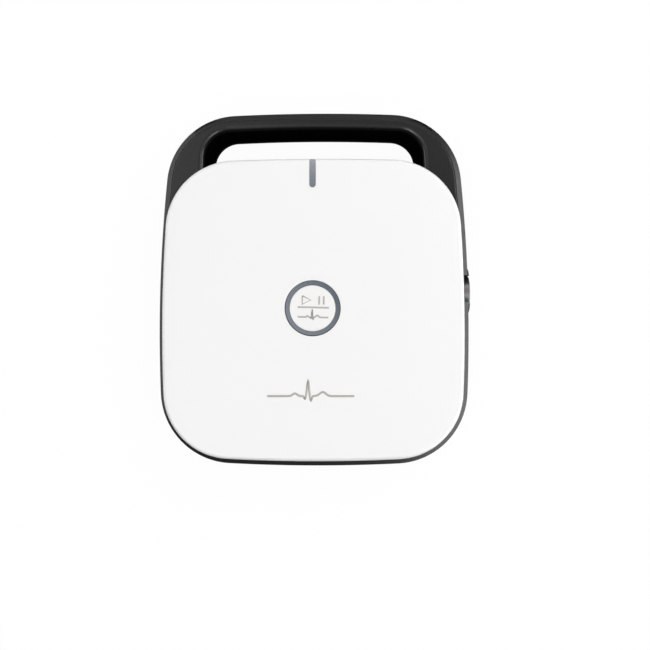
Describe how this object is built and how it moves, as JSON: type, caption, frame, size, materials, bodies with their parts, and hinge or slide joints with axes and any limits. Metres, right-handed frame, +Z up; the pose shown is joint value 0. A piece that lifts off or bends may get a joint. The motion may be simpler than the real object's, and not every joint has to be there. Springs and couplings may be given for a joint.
{
  "type": "pc-based ecg recorder",
  "caption": "Flat ECG acquisition box for a computer: white cover with a lit start button, black case with a loop handle, round patient-lead socket and data socket.",
  "frame": {"origin": "on the plane that the feet stand on, under the middle of the case", "axes": "+Z up out of the white cover, +Y to the handle, +X to the patient socket"},
  "size_m": [0.1211, 0.1372, 0.0283],
  "materials": {
    "case_black": "black satin moulded plastic, bead-blasted finish",
    "frame_black": "black moulded plastic with a fine grain",
    "cover_white": "near-white satin plastic",
    "cap_white": "white satin plastic",
    "light_guide": "blue-grey translucent plastic",
    "dark_metal": "black-chromed brass",
    "insulator": "black glass-filled plastic",
    "gold_plate": "gold-plated pins on a moulded carrier",
    "steel": "plated steel",
    "tin_plate": "tinned sheet",
    "rubber": "black rubber",
    "board_green": "green solder mask",
    "chip_black": "black moulding compound",
    "led_white": "white lamp body",
    "grey_sleeve": "grey wire sleeve",
    "plate_grey": "bare grey label stock"
  },
  "bodies": {
    "case": {"lower_housing": "case_black", "mid_frame": "frame_black", "top_cover": "cover_white", "tact_switch": "chip_black", "light_ring": "light_guide", "status_light_pipe": "light_guide", "socket_shell": "dark_metal", "socket_seal": "rubber", "socket_nut": "dark_metal", "socket_insert": "insulator", "contact_block": "gold_plate", "lead_harness": "grey_sleeve", "lead_header": "insulator", "usb_socket": "steel", "usb_tongue": "insulator", "main_board": "board_green", "processor_chip": "chip_black", "link_chip": "chip_black", "converter_chip": "chip_black", "shield_can": "tin_plate", "isolation_transformer": "chip_black", "crystal": "tin_plate", "bulk_capacitor": "tin_plate", "board_link": "insulator", "button_board": "board_green", "button_screw_1": "steel", "button_screw_2": "steel", "ring_led_1": "led_white", "ring_led_2": "led_white", "ring_led_3": "led_white", "ring_led_4": "led_white", "status_led": "led_white", "board_screw_1": "steel", "board_screw_2": "steel", "board_screw_3": "steel", "board_screw_4": "steel", "case_screw_1": "steel", "case_screw_2": "steel", "case_screw_3": "steel", "case_screw_4": "steel", "handle_screw_1": "steel", "handle_screw_2": "steel", "rubber_foot_1": "rubber", "rubber_foot_2": "rubber", "rubber_foot_3": "rubber", "rubber_foot_4": "rubber", "rating_plate": "plate_grey"},
    "start_button": {"button_cap": "cap_white", "switch_plunger": "chip_black"}
  },
  "joints": [
    {"name": "button_press", "type": "slide", "parent": "case", "child": "start_button", "axis": [0, 0, -1], "range_m": [0, 0.0005], "stiffness_N_per_m": 2500}
  ]
}
